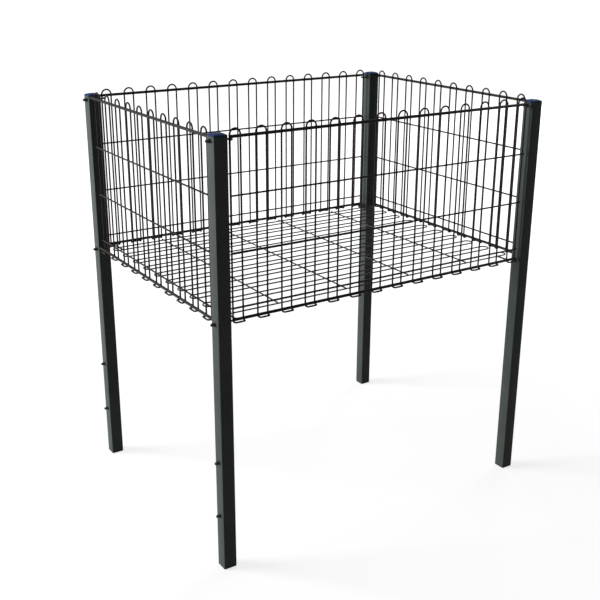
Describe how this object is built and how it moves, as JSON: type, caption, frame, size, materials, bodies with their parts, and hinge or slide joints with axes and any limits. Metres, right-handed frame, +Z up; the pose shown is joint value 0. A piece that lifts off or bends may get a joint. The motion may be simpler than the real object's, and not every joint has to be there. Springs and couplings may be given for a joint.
{
  "type": "retail dump bin",
  "caption": "Free-standing shop dump bin: an open wire basket of looped panels on square tube legs, with a loose wire floor that lifts out.",
  "frame": {"origin": "on the shop floor under the middle of the bin", "axes": "+X along the long sides towards the right end, +Y from the front long side to the back, +Z up"},
  "size_m": [0.8146, 0.606, 0.8924],
  "materials": {
    "wire": "satin black powder coat",
    "leg_tube": "fine-textured dark grey-green powder coat",
    "fastener": "glossy dark grey coat",
    "plastic": "black or dark blue moulded plastic"
  },
  "bodies": {
    "frame": {"front_panel": "wire", "back_panel": "wire", "left_panel": "wire", "right_panel": "wire", "leg_front_left": "leg_tube", "foot_front_left": "plastic", "cap_front_left": "plastic", "rail_hook_front_left": "fastener", "floor_hook_front_left": "fastener", "top_nut_front_left": "fastener", "bottom_nut_front_left": "fastener", "upper_screw_front_left": "fastener", "lower_screw_front_left": "fastener", "leg_front_right": "leg_tube", "foot_front_right": "plastic", "cap_front_right": "plastic", "rail_hook_front_right": "fastener", "floor_hook_front_right": "fastener", "top_nut_front_right": "fastener", "bottom_nut_front_right": "fastener", "upper_screw_front_right": "fastener", "lower_screw_front_right": "fastener", "leg_back_left": "leg_tube", "foot_back_left": "plastic", "cap_back_left": "plastic", "rail_hook_back_left": "fastener", "floor_hook_back_left": "fastener", "top_nut_back_left": "fastener", "bottom_nut_back_left": "fastener", "upper_screw_back_left": "fastener", "lower_screw_back_left": "fastener", "leg_back_right": "leg_tube", "foot_back_right": "plastic", "cap_back_right": "plastic", "rail_hook_back_right": "fastener", "floor_hook_back_right": "fastener", "top_nut_back_right": "fastener", "bottom_nut_back_right": "fastener", "upper_screw_back_right": "fastener", "lower_screw_back_right": "fastener"},
    "floor": {"floor_grid": "wire"}
  },
  "joints": [
    {"name": "floor_lift", "type": "slide", "parent": "frame", "child": "floor", "axis": [0, 0, 1], "range_m": [0, 0.34]}
  ]
}
